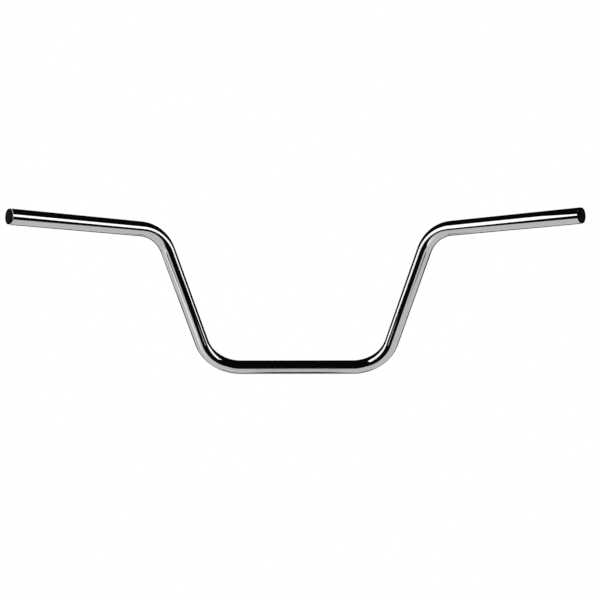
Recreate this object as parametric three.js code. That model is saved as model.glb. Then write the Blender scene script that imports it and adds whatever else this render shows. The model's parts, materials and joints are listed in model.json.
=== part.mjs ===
// A motorcycle handlebar: one steel tube bent at four places, with a push-in plug in each end.
//
// Millimetres. The origin is the middle of the clamp zone, on the tube's axis.
// +X is the rider's right, +Y is forwards, +Z is up. The rider sits at -Y.

import * as THREE from 'three';

// Driving dimensions of the bar, measured along the tube's axis.
const TUBE_DIAMETER = 22.2;
const WALL_THICKNESS = 2.1;
const BEND_RADIUS = 63.5;
const OVERALL_WIDTH = 771;
const OVERALL_RISE = 223;
const OVERALL_PULLBACK = 285.5;
const CENTRE_CORNER_SPACING = 282;
const SHOULDER_CORNER_SPACING = 408;
const SHOULDER_RISE = 215;
const SHOULDER_PULLBACK = 128;

// Driving dimensions of the end plugs.
const FLANGE_DIAMETER = 21.4;
const FLANGE_THICKNESS = 1.2;
const FLANGE_EDGE_RADIUS = 0.4;
const STEM_DIAMETER = 16.4;
const STEM_LENGTH = 22;
const STEM_WALL = 1.8;
const STEM_LEAD_IN = 1.2;
const RIB_COUNT = 3;
const RIB_SPACING = 6;
const RIB_LENGTH = 3.5;
const FIT_GAP = 0.3;

// How finely the round shapes are divided.
const BEND_STEP = THREE.MathUtils.degToRad(6);
const TUBE_QUARTER_SIDES = 8;
const PLUG_SIDES = 32;
const EDGE_STEPS = 4;

const steel = { color: 0xc3c4c4, roughness: 0.05, metalness: 1 };
const blackPlastic = { color: 0x0c0c0d, roughness: 0.55, metalness: 0 };

// The axis of a tube that runs straight between corners and turns each one on an arc of one radius.
// It has one station at each end of every straight and at every step of every bend, and a sweep
// with stepCount steps takes exactly those stations.
class BentTubeAxis extends THREE.Curve {
  constructor(corners, bendRadius, stepAngle) {
    super();
    this.stations = [];
    const last = corners.length - 1;
    const startDirection = corners[1].clone().sub(corners[0]).normalize();
    const endDirection = corners[last].clone().sub(corners[last - 1]).normalize();
    this.addStation(corners[0], startDirection);
    for (let i = 1; i < last; i += 1) {
      this.addBend(corners[i - 1], corners[i], corners[i + 1], bendRadius, stepAngle);
    }
    this.addStation(corners[last], endDirection);
    this.stepCount = this.stations.length - 1;
  }

  addStation(point, tangent) {
    this.stations.push({ point: point.clone(), tangent: tangent.clone() });
  }

  addBend(before, corner, after, radius, stepAngle) {
    const incoming = corner.clone().sub(before).normalize();
    const outgoing = after.clone().sub(corner).normalize();
    const turn = incoming.angleTo(outgoing);
    const axis = incoming.clone().cross(outgoing).normalize();
    const start = corner.clone().addScaledVector(incoming, -radius * Math.tan(turn / 2));
    const toCentre = axis.clone().cross(incoming);
    const centre = start.clone().addScaledVector(toCentre, radius);
    const steps = Math.ceil(turn / stepAngle);
    for (let k = 0; k <= steps; k += 1) {
      const angle = (turn * k) / steps;
      const spoke = toCentre.clone().multiplyScalar(-radius).applyAxisAngle(axis, angle);
      this.addStation(centre.clone().add(spoke), incoming.clone().applyAxisAngle(axis, angle));
    }
  }

  stationAt(u) {
    return this.stations[Math.round(u * this.stepCount)];
  }

  getPointAt(u) {
    return this.stationAt(u).point.clone();
  }

  getTangentAt(u) {
    return this.stationAt(u).tangent.clone();
  }
}

// The corners of one half of the bar, from the clamp zone out to the end. side is 1 or -1.
function cornersOfSide(side) {
  return {
    centre: new THREE.Vector3((side * CENTRE_CORNER_SPACING) / 2, 0, 0),
    shoulder: new THREE.Vector3(
      (side * SHOULDER_CORNER_SPACING) / 2,
      -SHOULDER_PULLBACK,
      SHOULDER_RISE,
    ),
    end: new THREE.Vector3((side * OVERALL_WIDTH) / 2, -OVERALL_PULLBACK, OVERALL_RISE),
  };
}

// The direction in which one grip section leaves its shoulder bend.
function gripDirection(side) {
  const { shoulder, end } = cornersOfSide(side);
  return end.clone().sub(shoulder).normalize();
}

function makeMesh(name, geometry, look) {
  const mesh = new THREE.Mesh(geometry, new THREE.MeshStandardMaterial(look));
  mesh.name = name;
  return mesh;
}

// The tube stops short of each overall end by the plug's flange and the gap behind it.
function makeTube() {
  const flangeRoom = FLANGE_THICKNESS + FIT_GAP;
  const left = cornersOfSide(-1);
  const right = cornersOfSide(1);
  const corners = [
    left.end.clone().addScaledVector(gripDirection(-1), -flangeRoom),
    left.shoulder,
    left.centre,
    right.centre,
    right.shoulder,
    right.end.clone().addScaledVector(gripDirection(1), -flangeRoom),
  ];
  const axis = new BentTubeAxis(corners, BEND_RADIUS, BEND_STEP);
  const outerRadius = TUBE_DIAMETER / 2;
  const section = new THREE.Shape();
  section.absarc(0, 0, outerRadius, 0, 2 * Math.PI, false);
  const bore = new THREE.Path();
  bore.absarc(0, 0, outerRadius - WALL_THICKNESS, 0, 2 * Math.PI, true);
  section.holes.push(bore);
  const geometry = new THREE.ExtrudeGeometry(section, {
    extrudePath: axis,
    steps: axis.stepCount,
    curveSegments: 2 * TUBE_QUARTER_SIDES,
    bevelEnabled: false,
  });
  return makeMesh('handlebar_tube', geometry, steel);
}

// The plug's outline, from the middle of its outer face round to the middle of its blind hole.
// Height 0 is the outer face. The flange covers the tube's rim, and the stem below it is hollow
// and open at its inner end, with ribs that slope the way the plug is pushed in.
function plugProfile() {
  const flangeRadius = FLANGE_DIAMETER / 2;
  const stemRadius = STEM_DIAMETER / 2;
  const ribRadius = TUBE_DIAMETER / 2 - WALL_THICKNESS - FIT_GAP;
  const stemEnd = -FLANGE_THICKNESS - STEM_LENGTH;
  const points = [new THREE.Vector2(0, 0)];
  for (let k = 0; k <= EDGE_STEPS; k += 1) {
    const angle = (Math.PI / 2) * (1 - k / EDGE_STEPS);
    points.push(new THREE.Vector2(
      flangeRadius + FLANGE_EDGE_RADIUS * (Math.cos(angle) - 1),
      FLANGE_EDGE_RADIUS * (Math.sin(angle) - 1),
    ));
  }
  points.push(new THREE.Vector2(flangeRadius, -FLANGE_THICKNESS));
  points.push(new THREE.Vector2(stemRadius, -FLANGE_THICKNESS));
  for (let i = 0; i < RIB_COUNT; i += 1) {
    const top = -FLANGE_THICKNESS - RIB_SPACING * (i + 0.5);
    points.push(new THREE.Vector2(stemRadius, top));
    points.push(new THREE.Vector2(ribRadius, top));
    points.push(new THREE.Vector2(stemRadius, top - RIB_LENGTH));
  }
  points.push(new THREE.Vector2(stemRadius, stemEnd + STEM_LEAD_IN));
  points.push(new THREE.Vector2(stemRadius - STEM_LEAD_IN / 2, stemEnd));
  points.push(new THREE.Vector2(stemRadius - STEM_WALL, stemEnd));
  points.push(new THREE.Vector2(stemRadius - STEM_WALL, -2 * FLANGE_THICKNESS));
  points.push(new THREE.Vector2(0, -2 * FLANGE_THICKNESS));
  return points;
}

function makePlug(name, side) {
  const plug = makeMesh(name, new THREE.LatheGeometry(plugProfile().reverse(), PLUG_SIDES), blackPlastic);
  plug.position.copy(cornersOfSide(side).end);
  plug.quaternion.setFromUnitVectors(new THREE.Vector3(0, 1, 0), gripDirection(side));
  return plug;
}

const handlebar = new THREE.Group();
handlebar.add(makeTube(), makePlug('left_end_plug', -1), makePlug('right_end_plug', 1));

export default handlebar;
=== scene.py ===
# A chromed motorcycle handlebar with a push-in plug in each end, in a small photographic studio.
# Metres. The origin is the middle of the clamp zone; +X is the rider's right, +Y forwards, +Z up.

import json
import math

import bmesh
import bpy
from mathutils import Matrix, Quaternion, Vector


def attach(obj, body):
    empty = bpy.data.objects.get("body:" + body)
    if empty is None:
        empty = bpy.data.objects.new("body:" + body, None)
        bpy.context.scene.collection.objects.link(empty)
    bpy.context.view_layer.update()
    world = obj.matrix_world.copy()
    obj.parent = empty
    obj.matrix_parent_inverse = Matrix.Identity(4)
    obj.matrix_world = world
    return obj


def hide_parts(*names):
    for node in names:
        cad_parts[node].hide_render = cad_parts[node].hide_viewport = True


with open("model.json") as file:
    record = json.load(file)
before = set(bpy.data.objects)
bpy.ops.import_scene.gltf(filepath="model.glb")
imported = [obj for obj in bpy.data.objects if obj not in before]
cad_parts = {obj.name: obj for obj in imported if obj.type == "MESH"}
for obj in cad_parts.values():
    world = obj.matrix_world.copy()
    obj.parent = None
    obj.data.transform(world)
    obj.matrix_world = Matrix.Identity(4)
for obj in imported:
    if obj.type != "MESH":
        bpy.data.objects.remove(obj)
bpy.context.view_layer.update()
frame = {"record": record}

MM = 0.001
MOUNTS = {mount["name"]: mount for mount in frame["record"]["mounts"]}

# The tube. Its end points and directions come from the frame's mounts.
TUBE_RADIUS = MOUNTS["centre_clamp"]["dims"]["r_mm"] * MM
BEND_RADIUS = 63.5 * MM
CENTRE_CORNER = Vector((141, 0, 0)) * MM
SHOULDER_CORNER = Vector((204, -128, 215)) * MM
WALL_THICKNESS = 2.1 * MM
BORE_RADIUS = TUBE_RADIUS - WALL_THICKNESS
RIM_DEPTH = 1.9 * MM
RIM_LENGTH = 0.8 * MM
RIM_GUARD = 0.15 * MM
BORE_CHAMFER = 0.15 * MM

# The knurl is cut into the tube, so it never stands proud of it.
KNURL_PITCH = 2.2 * MM
KNURL_ROWS = 65
KNURL_TEETH_AROUND = 30
KNURL_SAMPLES = 6
KNURL_DEPTH = 0.08 * MM
KNURL_GROOVE_SHARE = 0.36
KNURL_FADE_ROWS = 2

# The end plugs.
FLANGE_RADIUS = 10.7 * MM
FLANGE_THICKNESS = 1.2 * MM
FLANGE_EDGE = 0.4 * MM
FIT_GAP = 0.3 * MM
STEM_RADIUS = 8.2 * MM
STEM_LENGTH = 22 * MM
STEM_WALL = 1.8 * MM
RIB_COUNT = 3
RIB_SPACING = 6 * MM
RIB_LENGTH = 3.5 * MM
FLANGE_BACK_EDGE = 0.6 * MM
RIB_EDGE = 0.12 * MM
STEM_LEAD_IN = 0.6 * MM
SHARP_ANGLE = math.radians(30)

# How finely the round shapes are divided.
TUBE_SIDES = KNURL_TEETH_AROUND * KNURL_SAMPLES // 2
BORE_SIDES = TUBE_SIDES // 2
BEND_STEP = math.radians(2)
STRAIGHT_STEP = 20 * MM
GUARD_STEP = 2.5 * MM
PLUG_SIDES = 128
ARC_STEPS = 8


# ---------------------------------------------------------------- camera

# Fitted to the bar's outline in the photo, with the camera held level. The outline alone hardly
# fixes the lens and distance.
SENSOR_WIDTH_MM = 36
LENS_MM = 57.78
CAMERA_PLACE = (0.012, -1.5791, 0.1101)
CAMERA_TURN = (math.radians(90), math.radians(0.09), math.radians(0.24))


def make_camera():
    """The camera stands level, about 1.6 m behind the bar on the rider's side."""
    data = bpy.data.cameras.new("camera")
    data.sensor_width = SENSOR_WIDTH_MM
    data.lens = LENS_MM
    camera = bpy.data.objects.new("camera", data)
    camera.location = CAMERA_PLACE
    camera.rotation_euler = CAMERA_TURN
    bpy.context.scene.collection.objects.link(camera)
    bpy.context.scene.camera = camera


# ---------------------------------------------------------------- mesh helpers

def new_object(name, mesh_builder, materials):
    """An object whose mesh is what mesh_builder adds to an empty bmesh, with smooth faces."""
    builder = bmesh.new()
    mesh_builder(builder)
    for face in builder.faces:
        face.smooth = True
    mesh = bpy.data.meshes.new(name)
    builder.to_mesh(mesh)
    builder.free()
    for material in materials:
        mesh.materials.append(material)
    made = bpy.data.objects.new(name, mesh)
    bpy.context.scene.collection.objects.link(made)
    return made


def add_faces(builder, corner_lists, material_index):
    for corners in corner_lists:
        builder.faces.new(corners).material_index = material_index


def bridge(builder, ring_a, ring_b, material_index):
    """Faces between two rings. They have equal counts, or one has twice as many as the other."""
    count_a = len(ring_a)
    count_b = len(ring_b)
    if count_a == count_b:
        add_faces(builder, (
            (ring_a[i - 1], ring_a[i], ring_b[i], ring_b[i - 1]) for i in range(count_a)
        ), material_index)
    elif count_a < count_b:
        for i in range(count_a):
            a0, a1 = ring_a[i], ring_a[(i + 1) % count_a]
            b0, b1, b2 = ring_b[2 * i], ring_b[2 * i + 1], ring_b[(2 * i + 2) % count_b]
            add_faces(builder, ((a0, b1, b0), (a0, a1, b1), (a1, b2, b1)), material_index)
    else:
        for i in range(count_b):
            b0, b1 = ring_b[i], ring_b[(i + 1) % count_b]
            a0, a1, a2 = ring_a[2 * i], ring_a[2 * i + 1], ring_a[(2 * i + 2) % count_a]
            add_faces(builder, ((a0, a1, b0), (a1, b1, b0), (a1, a2, b1)), material_index)


# ---------------------------------------------------------------- the tube's path

class Station:
    """A point of the tube's axis, with the axis's direction and a direction across it."""

    def __init__(self, point, along, across):
        self.point = point
        self.along = along
        self.across = across

    def ring(self, builder, count, radius, shift=0.0):
        """A ring of vertices. radius is a number, or a function of the angle round the tube."""
        upright = self.along.cross(self.across)
        vertices = []
        for k in range(count):
            angle = 2 * math.pi * k / count
            r = radius(angle) if callable(radius) else radius
            offset = self.across * math.cos(angle) + upright * math.sin(angle)
            vertices.append(builder.verts.new(self.point + self.along * shift + offset * r))
        return vertices


def tube_corners():
    """The corners of the axis from the tube's left end to its right end."""
    corners = []
    for side in (-1, 1):
        mount = MOUNTS["left_bar_end" if side < 0 else "right_bar_end"]
        outward = Vector(mount["axis"]).normalized()
        end = Vector(mount["pos_m"]) - outward * (FLANGE_THICKNESS + FIT_GAP)
        half = [mirrored(CENTRE_CORNER, side), mirrored(SHOULDER_CORNER, side), end]
        corners = half[::-1] if side < 0 else corners + half
    return corners


def mirrored(point, side):
    return Vector((point.x * side, point.y, point.z))


def straight_points(start, end, step):
    """Points from start almost to end, with a pair close together at each end of the straight."""
    guard = (end - start).normalized() * GUARD_STEP
    inner_start = start + guard
    inner_end = end - guard
    count = math.ceil((inner_end - inner_start).length / step)
    return [start] + [inner_start.lerp(inner_end, k / count) for k in range(count + 1)]


def path_stations(bend_step, straight_step):
    """Stations along the whole axis, as three lists: left of the knurl, right of it, and all."""
    corners = tube_corners()
    knurl_half = KNURL_PITCH * KNURL_ROWS / 2
    stations = []
    direction = (corners[1] - corners[0]).normalized()
    across = direction.cross(Vector((0, 0, 1))).normalized()
    start = corners[0]
    for before, corner, after in zip(corners, corners[1:], corners[2:]):
        outgoing = (after - corner).normalized()
        turn = direction.angle(outgoing)
        axis = direction.cross(outgoing).normalized()
        tangent = BEND_RADIUS * math.tan(turn / 2)
        bend_start = corner - direction * tangent
        spoke = direction.cross(axis) * BEND_RADIUS
        centre = bend_start - spoke
        for point in straight_points(start, bend_start, straight_step):
            stations.append(Station(point, direction.copy(), across.copy()))
        steps = math.ceil(turn / bend_step)
        for k in range(steps):
            twist = Quaternion(axis, turn * k / steps)
            stations.append(Station(centre + twist @ spoke, twist @ direction, twist @ across))
        across = Quaternion(axis, turn) @ across
        direction = outgoing
        start = corner + outgoing * tangent
    for point in straight_points(start, corners[-1], straight_step) + [corners[-1]]:
        stations.append(Station(point, direction.copy(), across.copy()))
    left = [s for s in stations if s.point.x < -knurl_half - KNURL_PITCH / 2]
    right = [s for s in stations if s.point.x > knurl_half + KNURL_PITCH / 2]
    return left, right, stations


# ---------------------------------------------------------------- the tube

def groove(t):
    """How deep a V groove is at t, in pitches, from 0 between grooves to 1 at the bottom."""
    distance = abs(t - round(t))
    return max(0.0, 1 - distance / KNURL_GROOVE_SHARE)


def knurl_radius(row):
    """The tube's radius as a function of the angle, at a place in the knurl given in pitches."""
    from_end = min(row, KNURL_ROWS - row)
    depth = KNURL_DEPTH * min(1.0, from_end / KNURL_FADE_ROWS)

    def radius(angle):
        tooth = KNURL_TEETH_AROUND * angle / (2 * math.pi)
        cut = max(groove(row + tooth), groove(row - tooth))
        return TUBE_RADIUS - depth * cut

    return radius


def rim_rings(builder, station, outward):
    """Rings over a tube end's rim, a quarter ellipse from the outside to the bore's mouth."""
    rings = []
    for k in range(ARC_STEPS + 1):
        angle = math.pi / 2 * k / ARC_STEPS
        shift = outward * RIM_LENGTH * (math.sin(angle) - 1)
        radius = TUBE_RADIUS - RIM_DEPTH * (1 - math.cos(angle))
        rings.append(station.ring(builder, TUBE_SIDES, radius, shift))
    rings.append(station.ring(builder, TUBE_SIDES, BORE_RADIUS + BORE_CHAMFER))
    rings.append(station.ring(builder, BORE_SIDES, BORE_RADIUS, -outward * BORE_CHAMFER))
    return rings


def build_tube(builder):
    """The hollow bent tube as one closed skin: outside, left rim, bore and right rim."""
    left, right, stations = path_stations(BEND_STEP, STRAIGHT_STEP)
    middle = Station(Vector((0, 0, 0)), left[-1].along, left[-1].across)
    outside = []
    for index, station in enumerate(left):
        shift = RIM_LENGTH + RIM_GUARD if index == 0 else 0.0
        outside.append(station.ring(builder, TUBE_SIDES, TUBE_RADIUS, shift))
    for k in range(KNURL_ROWS * KNURL_SAMPLES + 1):
        row = k / KNURL_SAMPLES
        shift = (row - KNURL_ROWS / 2) * KNURL_PITCH
        outside.append(middle.ring(builder, 2 * TUBE_SIDES, knurl_radius(row), shift))
    for index, station in enumerate(right):
        shift = -RIM_LENGTH - RIM_GUARD if index == len(right) - 1 else 0.0
        outside.append(station.ring(builder, TUBE_SIDES, TUBE_RADIUS, shift))
    left_rim = rim_rings(builder, stations[0], -1)
    right_rim = rim_rings(builder, stations[-1], 1)
    bore = [s.ring(builder, BORE_SIDES, BORE_RADIUS) for s in stations[1:-1]]
    for ring_a, ring_b in zip(outside, outside[1:]):
        knurled = len(ring_a) == len(ring_b) == 2 * TUBE_SIDES
        bridge(builder, ring_a, ring_b, 1 if knurled else 0)
    for ring_a, ring_b in zip([outside[-1]] + right_rim, right_rim):
        bridge(builder, ring_a, ring_b, 0)
    for ring_a, ring_b in zip([outside[0]] + left_rim, left_rim):
        bridge(builder, ring_b, ring_a, 0)
    for ring_a, ring_b in zip([left_rim[-1]] + bore, bore + [right_rim[-1]]):
        bridge(builder, ring_b, ring_a, 2)
    bmesh.ops.recalc_face_normals(builder, faces=builder.faces)


def make_tube():
    tube = new_object("bent_tube", build_tube, (chrome(), knurled_chrome(), bare_steel()))
    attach(tube, "bar")
    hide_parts("handlebar_tube")


# ---------------------------------------------------------------- the end plugs

def arc(centre, radius, start, end, steps=ARC_STEPS):
    """Points on an arc in the profile's plane, as (distance from the axis, height)."""
    points = []
    for k in range(steps + 1):
        angle = math.radians(start + (end - start) * k / steps)
        points.append((centre[0] + radius * math.cos(angle), centre[1] + radius * math.sin(angle)))
    return points


def plug_profile():
    """The plug's outline, from its outer face's middle to its hollow's. Height 0 is the face."""
    rib_radius = BORE_RADIUS - FIT_GAP
    stem_end = -FLANGE_THICKNESS - STEM_LENGTH
    points = [(0, 0)]
    points += arc((FLANGE_RADIUS - FLANGE_EDGE, -FLANGE_EDGE), FLANGE_EDGE, 90, 0)
    points += arc((FLANGE_RADIUS - FLANGE_BACK_EDGE, FLANGE_BACK_EDGE - FLANGE_THICKNESS),
                  FLANGE_BACK_EDGE, 0, -90)
    points.append((STEM_RADIUS, -FLANGE_THICKNESS))
    for i in range(RIB_COUNT):
        top = -FLANGE_THICKNESS - RIB_SPACING * (i + 0.5)
        points.append((STEM_RADIUS, top))
        points += arc((rib_radius - RIB_EDGE, top - RIB_EDGE), RIB_EDGE, 90, 0, 4)
        points.append((STEM_RADIUS, top - RIB_LENGTH))
    points += arc((STEM_RADIUS - STEM_LEAD_IN, stem_end + STEM_LEAD_IN), STEM_LEAD_IN, 0, -90)
    points.append((STEM_RADIUS - STEM_WALL, stem_end))
    points.append((STEM_RADIUS - STEM_WALL, -2 * FLANGE_THICKNESS))
    points.append((0, -2 * FLANGE_THICKNESS))
    return points


def build_plug(builder):
    """A turned shape about local Z, from plug_profile."""
    profile = plug_profile()
    first = builder.verts.new((0, 0, profile[0][1]))
    last = builder.verts.new((0, 0, profile[-1][1]))
    rings = []
    for radius, height in profile[1:-1]:
        rings.append([
            builder.verts.new((
                radius * math.cos(2 * math.pi * k / PLUG_SIDES),
                radius * math.sin(2 * math.pi * k / PLUG_SIDES),
                height,
            ))
            for k in range(PLUG_SIDES)
        ])
    for ring_a, ring_b in zip(rings, rings[1:]):
        bridge(builder, ring_a, ring_b, 0)
    for k in range(PLUG_SIDES):
        builder.faces.new((first, rings[0][k - 1], rings[0][k]))
        builder.faces.new((last, rings[-1][k], rings[-1][k - 1]))
    bmesh.ops.recalc_face_normals(builder, faces=builder.faces)


def make_plug(side_name, material):
    mount = MOUNTS[side_name + "_bar_end"]
    outward = Vector(mount["axis"]).normalized()
    plug = new_object(side_name + "_push_in_plug", build_plug, (material,))
    turn = outward.to_track_quat("Z", "Y").to_matrix().to_4x4()
    plug.data.transform(Matrix.Translation(Vector(mount["pos_m"])) @ turn)
    plug.data.set_sharp_from_angle(angle=SHARP_ANGLE)
    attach(plug, side_name + "_plug")
    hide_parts(side_name + "_end_plug")


# ---------------------------------------------------------------- materials

CHROME_DARK = (0.445, 0.45, 0.448)
CHROME_LIGHT = (0.475, 0.48, 0.478)
KNURL_DARK = (0.42, 0.425, 0.422)
KNURL_LIGHT = (0.465, 0.47, 0.468)
STEEL_BROWN = (0.11, 0.095, 0.085)
STEEL_GREY = (0.24, 0.235, 0.23)
PLASTIC_DARK = (0.0001, 0.0002, 0.0002)
PLASTIC_LIGHT = (0.0085, 0.011, 0.0105)


def new_material(name):
    material = bpy.data.materials.new(name)
    material.use_nodes = True
    nodes = material.node_tree.nodes
    links = material.node_tree.links
    return material, nodes, links, nodes["Principled BSDF"]


def noise(nodes, links, scale, detail):
    """A noise texture in the object's own space."""
    place = nodes.new("ShaderNodeTexCoord")
    texture = nodes.new("ShaderNodeTexNoise")
    texture.inputs["Scale"].default_value = scale
    texture.inputs["Detail"].default_value = detail
    links.new(place.outputs["Object"], texture.inputs["Vector"])
    return texture.outputs["Fac"]


def drive_range(nodes, links, value, low, high, socket):
    """Turns a 0 to 1 value into low to high, and links it to a shader's socket."""
    span = nodes.new("ShaderNodeMapRange")
    span.inputs["From Min"].default_value = 0.3
    span.inputs["From Max"].default_value = 0.7
    span.inputs["To Min"].default_value = low
    span.inputs["To Max"].default_value = high
    links.new(value, span.inputs["Value"])
    links.new(span.outputs["Result"], socket)


def contrast(nodes, links, value, low, high):
    """Stretches a value so that low becomes 0 and high becomes 1."""
    span = nodes.new("ShaderNodeMapRange")
    span.inputs["From Min"].default_value = low
    span.inputs["From Max"].default_value = high
    links.new(value, span.inputs["Value"])
    return span.outputs["Result"]


def drive_colour(nodes, links, value, dark, light, socket):
    """Turns a 0 to 1 value into a colour between two, and links it to a shader's socket."""
    mix = nodes.new("ShaderNodeMix")
    mix.data_type = "RGBA"
    mix.inputs["A"].default_value = (*dark, 1)
    mix.inputs["B"].default_value = (*light, 1)
    links.new(value, mix.inputs["Factor"])
    links.new(mix.outputs["Result"], socket)


def add_bump(nodes, links, value, strength, distance, shader):
    bump = nodes.new("ShaderNodeBump")
    bump.inputs["Strength"].default_value = strength
    bump.inputs["Distance"].default_value = distance
    links.new(value, bump.inputs["Height"])
    links.new(bump.outputs["Normal"], shader.inputs["Normal"])


def chrome():
    """Mirror chrome: a faint drift of colour and haze, and a trace of the polishing beneath."""
    material, nodes, links, shader = new_material("mirror_chrome")
    shader.inputs["Metallic"].default_value = 1
    cloud = noise(nodes, links, 18, 5)
    drive_colour(nodes, links, cloud, CHROME_DARK, CHROME_LIGHT, shader.inputs["Base Color"])
    haze = noise(nodes, links, 70, 6)
    drive_range(nodes, links, haze, 0.015, 0.05, shader.inputs["Roughness"])
    ripple = noise(nodes, links, 260, 2)
    add_bump(nodes, links, ripple, 0.02, 0.00004, shader)
    return material


def knurled_chrome():
    """The same plate over the knurl, where it is a little duller."""
    material, nodes, links, shader = new_material("knurled_chrome")
    shader.inputs["Metallic"].default_value = 1
    cloud = noise(nodes, links, 40, 5)
    drive_colour(nodes, links, cloud, KNURL_DARK, KNURL_LIGHT, shader.inputs["Base Color"])
    haze = noise(nodes, links, 400, 6)
    drive_range(nodes, links, haze, 0.06, 0.14, shader.inputs["Roughness"])
    return material


def bare_steel():
    """The bore: drawn steel that the plating doesn't reach, with drawing lines and a brown bloom."""
    material, nodes, links, shader = new_material("bare_steel_bore")
    shader.inputs["Metallic"].default_value = 1
    bloom = noise(nodes, links, 90, 8)
    drive_colour(nodes, links, bloom, STEEL_BROWN, STEEL_GREY, shader.inputs["Base Color"])
    drive_range(nodes, links, bloom, 0.4, 0.65, shader.inputs["Roughness"])
    grain = noise(nodes, links, 900, 3)
    add_bump(nodes, links, grain, 0.3, 0.0001, shader)
    return material


def black_plastic():
    """Moulded black plastic: a fine spark-eroded grain, and a little unevenness in its sheen."""
    material, nodes, links, shader = new_material("black_plastic")
    shader.inputs["Specular IOR Level"].default_value = 0.02
    cloud = noise(nodes, links, 560, 2)
    mottle = contrast(nodes, links, cloud, 0.47, 0.66)
    drive_colour(nodes, links, mottle, PLASTIC_DARK, PLASTIC_LIGHT, shader.inputs["Base Color"])
    drive_range(nodes, links, cloud, 0.7, 0.85, shader.inputs["Roughness"])
    grain = noise(nodes, links, 2600, 3)
    add_bump(nodes, links, grain, 0.35, 0.00008, shader)
    return material


# ---------------------------------------------------------------- the studio

# These places were fitted to the bar's reflections in the photo and then adjusted. Other
# places fit about as well, so they are not a record of how the real bar was lit.
FLOOR_LEVEL = -3.23
FLOOR_FRONT = -1.77
FLOOR_BACK = 4.0
FLOOR_HALF_WIDTH = 5.7
# The painted pool of light on the floor: where its glow is turned up, how wide, and how bright.
POOL_CENTRE = (-1.55, -1.81)
POOL_RADIUS = 1.53
POOL_BRIGHTNESS = 2.0
CARD_TOP = -0.82
CARD_TOP_HALF_WIDTH = 0.26
CARD_FOOT_HALF_WIDTH = 0.69
FLAG_DISTANCE = 0.06
FLAG_HALF_WIDTH = 0.17
FLAG_BOTTOM = -0.19
FLAG_TOP = -0.093
FLAP_FRONT = -0.014
FLAP_BACK_HALF_WIDTH = 0.1
FLAP_FRONT_HALF_WIDTH = 0.05
SOFTBOX_BRIGHTNESS = 2.4
LEFT_BOX_CENTRE = (-1.7, 0.67, -0.255)
LEFT_BOX_OUTWARD = (-0.769, -0.64)
LEFT_BOX_SIZE = (3.86, 0.76)
LEFT_BOX_LIFT = 26.6
RIGHT_BOX_CENTRE = (2.56, -0.15, 0.42)
RIGHT_BOX_OUTWARD = (0.934, -0.358)
RIGHT_BOX_SIZE = (3.11, 1.32)
RIGHT_BOX_LIFT = -23.3
ROOM_BRIGHTNESS = 0.005


def make_floor():
    """A white floor far below the bar, with a painted pool of light at its front left, and a white
    card that stands at its front edge.
    """
    white = glowing_white()
    make_sheet("floor", (
        (-FLOOR_HALF_WIDTH, FLOOR_FRONT, FLOOR_LEVEL),
        (FLOOR_HALF_WIDTH, FLOOR_FRONT, FLOOR_LEVEL),
        (FLOOR_HALF_WIDTH, FLOOR_BACK, FLOOR_LEVEL),
        (-FLOOR_HALF_WIDTH, FLOOR_BACK, FLOOR_LEVEL),
    ), floor_glow_with_painted_pool())
    card = make_sheet("front_card", (
        (-CARD_FOOT_HALF_WIDTH, FLOOR_FRONT, FLOOR_LEVEL),
        (CARD_FOOT_HALF_WIDTH, FLOOR_FRONT, FLOOR_LEVEL),
        (CARD_TOP_HALF_WIDTH, FLOOR_FRONT, CARD_TOP),
        (-CARD_TOP_HALF_WIDTH, FLOOR_FRONT, CARD_TOP),
    ), white)
    card.visible_camera = False


def make_flag():
    """A black flag behind and below the clamp zone, mirrored as the dark line on its underside."""
    black = bpy.data.materials.new("flag_black")
    black.use_nodes = True
    shader = black.node_tree.nodes["Principled BSDF"]
    shader.inputs["Base Color"].default_value = (0, 0, 0, 1)
    shader.inputs["Specular IOR Level"].default_value = 0
    flag = make_sheet("black_flag", (
        (-FLAG_HALF_WIDTH, FLAG_DISTANCE, FLAG_BOTTOM),
        (FLAG_HALF_WIDTH, FLAG_DISTANCE, FLAG_BOTTOM),
        (FLAG_HALF_WIDTH, FLAG_DISTANCE, FLAG_TOP),
        (-FLAG_HALF_WIDTH, FLAG_DISTANCE, FLAG_TOP),
    ), black)
    flap = make_sheet("black_flap", (
        (-FLAP_BACK_HALF_WIDTH, FLAG_DISTANCE, FLAG_BOTTOM),
        (FLAP_BACK_HALF_WIDTH, FLAG_DISTANCE, FLAG_BOTTOM),
        (FLAP_FRONT_HALF_WIDTH, FLAP_FRONT, FLAG_BOTTOM),
        (-FLAP_FRONT_HALF_WIDTH, FLAP_FRONT, FLAG_BOTTOM),
    ), black)
    for sheet in (flag, flap):
        sheet.visible_camera = False


def glowing_white():
    """A white surface lit evenly from within, as bright as paper that is just overexposed."""
    material = bpy.data.materials.new("glowing_white")
    material.use_nodes = True
    nodes = material.node_tree.nodes
    nodes.clear()
    emission = nodes.new("ShaderNodeEmission")
    output = nodes.new("ShaderNodeOutputMaterial")
    material.node_tree.links.new(emission.outputs["Emission"], output.inputs["Surface"])
    return material


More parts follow.
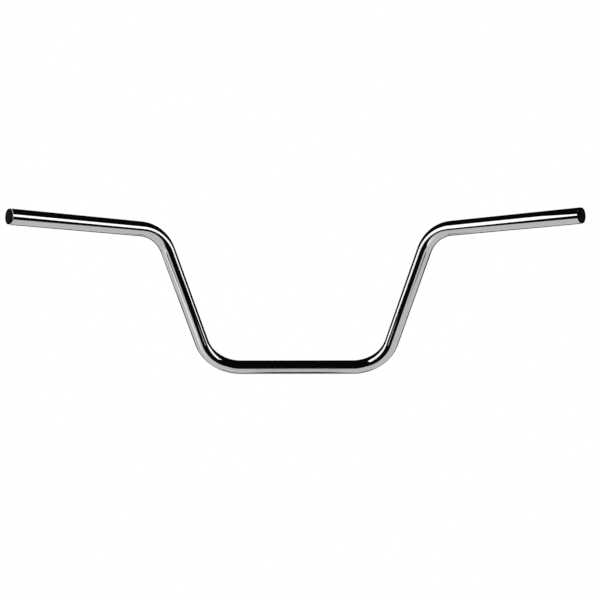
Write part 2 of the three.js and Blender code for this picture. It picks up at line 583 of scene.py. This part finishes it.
def floor_glow_with_painted_pool():
    """The same white, with a soft painted pool of brighter light at the floor's front left: the
    floor's own glow is turned up there.
    """
    material = glowing_white()
    nodes = material.node_tree.nodes
    links = material.node_tree.links
    place = nodes.new("ShaderNodeTexCoord")
    mapping = nodes.new("ShaderNodeMapping")
    mapping.vector_type = "TEXTURE"
    mapping.inputs["Location"].default_value = (*POOL_CENTRE, FLOOR_LEVEL)
    mapping.inputs["Scale"].default_value = (POOL_RADIUS, POOL_RADIUS, POOL_RADIUS)
    gradient = nodes.new("ShaderNodeTexGradient")
    gradient.gradient_type = "SPHERICAL"
    strength = nodes.new("ShaderNodeMapRange")
    strength.interpolation_type = "SMOOTHSTEP"
    strength.inputs["To Min"].default_value = 1
    strength.inputs["To Max"].default_value = POOL_BRIGHTNESS
    links.new(place.outputs["Object"], mapping.inputs["Vector"])
    links.new(mapping.outputs["Vector"], gradient.inputs["Vector"])
    links.new(gradient.outputs["Fac"], strength.inputs["Value"])
    links.new(strength.outputs["Result"], nodes["Emission"].inputs["Strength"])
    return material


def make_sheet(name, corners, material):
    def build(builder):
        builder.faces.new([builder.verts.new(corner) for corner in corners])

    sheet = new_object(name, build, (material,))
    return sheet


def make_softbox(name, centre, outward, size, lift):
    """A long upright softbox beside the bar, its back to outward, tipped by lift degrees."""
    length, width = size
    data = bpy.data.lights.new(name, "AREA")
    data.shape = "RECTANGLE"
    data.size = length
    data.size_y = width
    data.energy = SOFTBOX_BRIGHTNESS * math.pi * length * width
    box = bpy.data.objects.new(name, data)
    box.location = centre
    box.rotation_mode = "QUATERNION"
    upright = Vector((*outward, 0)).to_track_quat("Z", "Y")
    box.rotation_quaternion = upright @ Quaternion((0, 0, 1), math.radians(lift))
    box.visible_camera = False
    bpy.context.scene.collection.objects.link(box)


def make_world():
    """White behind the bar for the camera, and a dark room for everything the bar mirrors."""
    world = bpy.data.worlds.new("studio")
    world.use_nodes = True
    nodes = world.node_tree.nodes
    links = world.node_tree.links
    rays = nodes.new("ShaderNodeLightPath")
    mix = nodes.new("ShaderNodeMix")
    mix.data_type = "RGBA"
    mix.inputs["A"].default_value = (ROOM_BRIGHTNESS, ROOM_BRIGHTNESS, ROOM_BRIGHTNESS, 1)
    mix.inputs["B"].default_value = (1, 1, 1, 1)
    links.new(rays.outputs["Is Camera Ray"], mix.inputs["Factor"])
    links.new(mix.outputs["Result"], nodes["Background"].inputs["Color"])
    bpy.context.scene.world = world


make_camera()
make_world()
make_floor()
make_flag()
make_softbox("left_softbox", LEFT_BOX_CENTRE, LEFT_BOX_OUTWARD, LEFT_BOX_SIZE, LEFT_BOX_LIFT)
make_softbox("right_softbox", RIGHT_BOX_CENTRE, RIGHT_BOX_OUTWARD, RIGHT_BOX_SIZE, RIGHT_BOX_LIFT)
make_tube()
plastic = black_plastic()
make_plug("left", plastic)
make_plug("right", plastic)

scene = bpy.context.scene
scene.view_settings.view_transform = "Standard"
